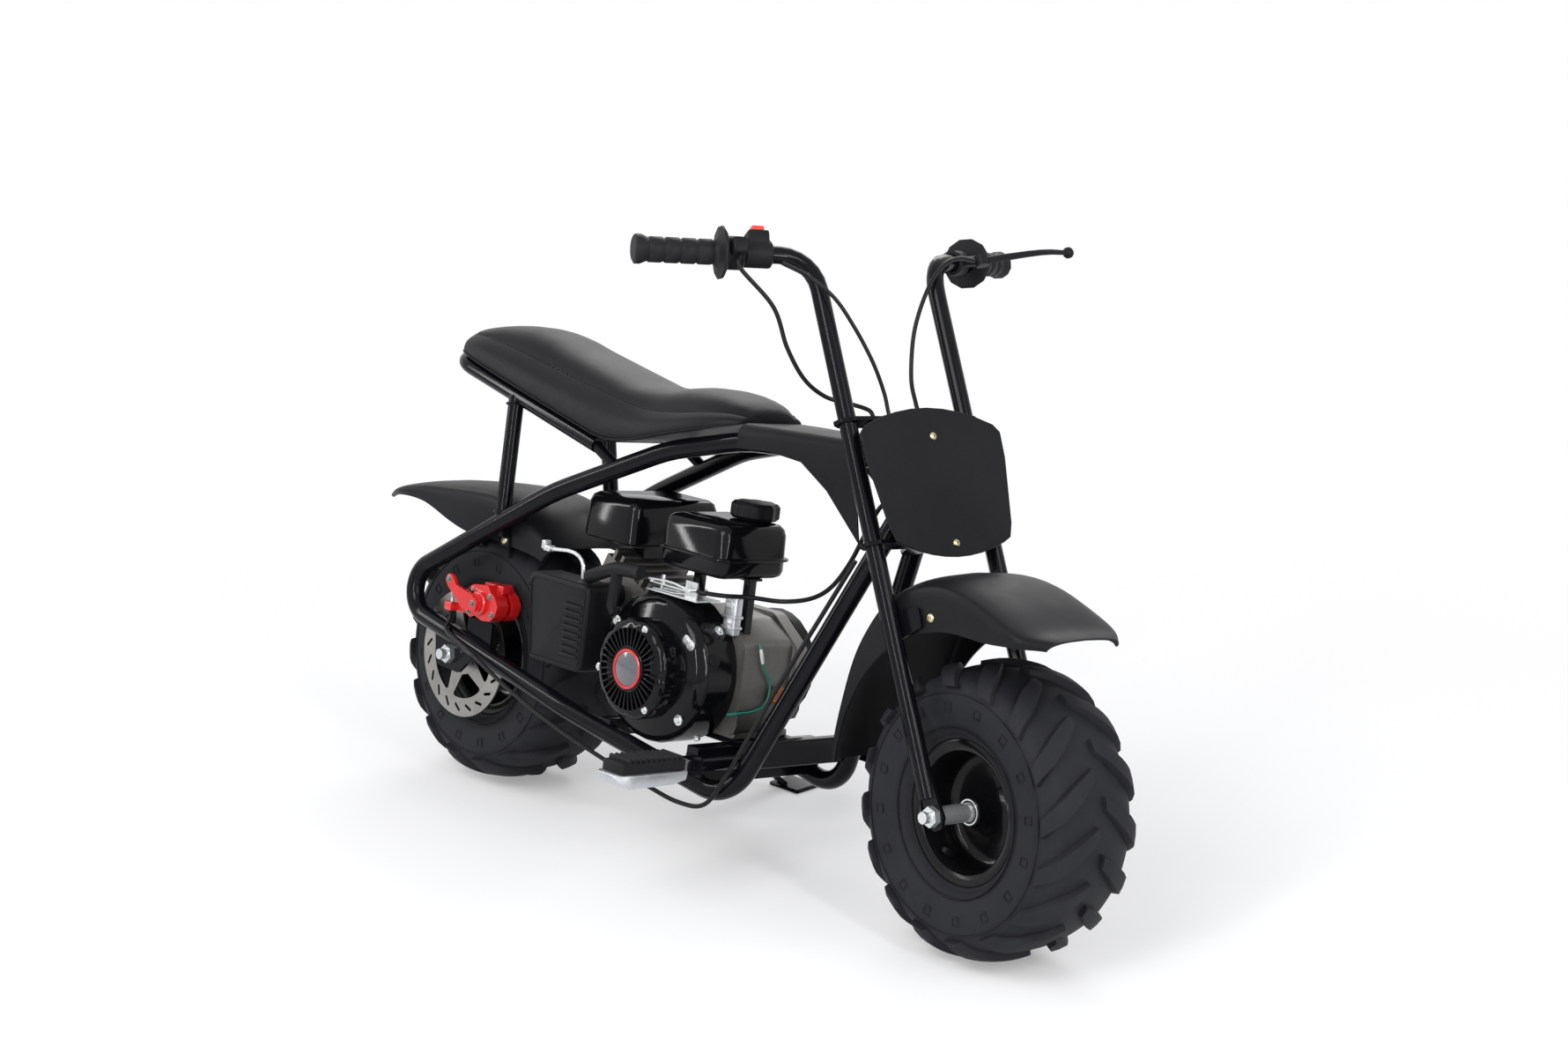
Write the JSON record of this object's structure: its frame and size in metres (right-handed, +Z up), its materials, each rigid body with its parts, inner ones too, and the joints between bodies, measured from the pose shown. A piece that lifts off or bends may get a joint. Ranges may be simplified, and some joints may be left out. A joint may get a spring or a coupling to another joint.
{
  "type": "minibike",
  "caption": "Small tube-framed minibike with fat knobbly tyres and an open engine, parked leaning on its side stand.",
  "frame": {"origin": "centre of the bounding box at the ground, with the bike parked on its stand", "axes": "+X forward along the bike, +Y to the rider's left, +Z up from the ground"},
  "size_m": [1.376, 0.7206, 0.8535],
  "materials": {
    "brushed_steel": "brushed",
    "cable_sheath": "satin",
    "caliper_red": "gloss",
    "cast_aluminium": "cast",
    "chain_steel": "satin",
    "engine_paint": "gloss",
    "fender_plastic": "satin",
    "frame_paint": "gloss",
    "grip_rubber": "matte",
    "matte_plastic": "matte",
    "peg_aluminium": "satin",
    "rim_paint": "satin",
    "seat_vinyl": "satin",
    "switch_red": "gloss",
    "tyre_rubber": "matte",
    "zinc_steel": "satin"
  },
  "bodies": {
    "frame": {"air_cleaner": "matte_plastic", "blower_housing": "engine_paint", "brake_cable": "cable_sheath", "brake_caliper": "caliper_red", "choke_lever": "zinc_steel", "clutch": "chain_steel", "clutch_guard": "matte_plastic", "crankcase": "cast_aluminium", "cylinder": "cast_aluminium", "drive_chain": "chain_steel", "engine_mount": "frame_paint", "footpeg_bar": "frame_paint", "fuel_cap": "matte_plastic", "fuel_tank": "engine_paint", "governor_linkage": "zinc_steel", "head_cover": "fender_plastic", "head_tube": "frame_paint", "lower_tube_left": "frame_paint", "lower_tube_right": "frame_paint", "muffler_guard": "engine_paint", "pull_handle": "matte_plastic", "rear_axle": "zinc_steel", "rear_fender": "fender_plastic", "recoil_cover": "engine_paint", "seat": "seat_vinyl", "seat_frame": "frame_paint", "seat_pan": "matte_plastic", "tank_bracket": "engine_paint", "throttle_hose": "cable_sheath", "upper_rail_left": "frame_paint", "upper_rail_right": "frame_paint"},
    "fork": {"fork_leg_right": "frame_paint", "fork_leg_left": "frame_paint", "lower_clamp": "frame_paint", "upper_clamp": "frame_paint", "number_plate": "fender_plastic", "grip_right": "grip_rubber", "grip_left": "grip_rubber", "throttle_housing": "matte_plastic", "switch_pod": "matte_plastic", "kill_button": "switch_red", "brake_perch": "matte_plastic", "brake_lever": "matte_plastic", "front_axle": "zinc_steel", "front_fender": "fender_plastic", "throttle_cable": "cable_sheath", "switch_lead": "cable_sheath", "brake_cable_bar": "cable_sheath"},
    "front_wheel": {"front_tyre": "tyre_rubber", "front_rim": "rim_paint"},
    "rear_wheel": {"rear_tyre": "tyre_rubber", "rear_rim": "rim_paint", "brake_disc": "brushed_steel", "rear_sprocket": "chain_steel"},
    "side_stand": {"side_stand": "frame_paint"},
    "footpeg_left": {"footpeg_left": "peg_aluminium", "footpeg_rubber_left": "grip_rubber"},
    "footpeg_right": {"footpeg_right": "peg_aluminium", "footpeg_rubber_right": "grip_rubber"}
  },
  "joints": [
    {"name": "steering", "type": "hinge", "parent": "frame", "child": "fork", "pos_m": [0.47483, -0.06326, 0.16381], "axis": [-0.4428, 0.1484, 0.8842], "range_deg": [-30, 40]},
    {"name": "front_wheel_spin", "type": "hinge", "parent": "fork", "child": "front_wheel", "pos_m": [0.50761, -0.06373, 0.18031], "axis": [0.0781, 0.9888, -0.1269], "continuous": true},
    {"name": "rear_wheel_spin", "type": "hinge", "parent": "frame", "child": "rear_wheel", "pos_m": [-0.41446, -0.06056, 0.18013], "axis": [0, 0.9862, -0.1656], "continuous": true},
    {"name": "side_stand_fold", "type": "hinge", "parent": "frame", "child": "side_stand", "pos_m": [-0.14449, 0.06544, 0.10313], "axis": [0.1371, 0.6669, 0.7324], "range_deg": [0, 75]},
    {"name": "footpeg_fold_left", "type": "hinge", "parent": "frame", "child": "footpeg_left", "pos_m": [0.13552, 0.09777, 0.12653], "axis": [1, 0, -0.0003], "range_deg": [0, 75]},
    {"name": "footpeg_fold_right", "type": "hinge", "parent": "frame", "child": "footpeg_right", "pos_m": [0.13554, -0.22767, 0.18117], "axis": [-1, 0, 0.0003], "range_deg": [0, 75]}
  ]
}
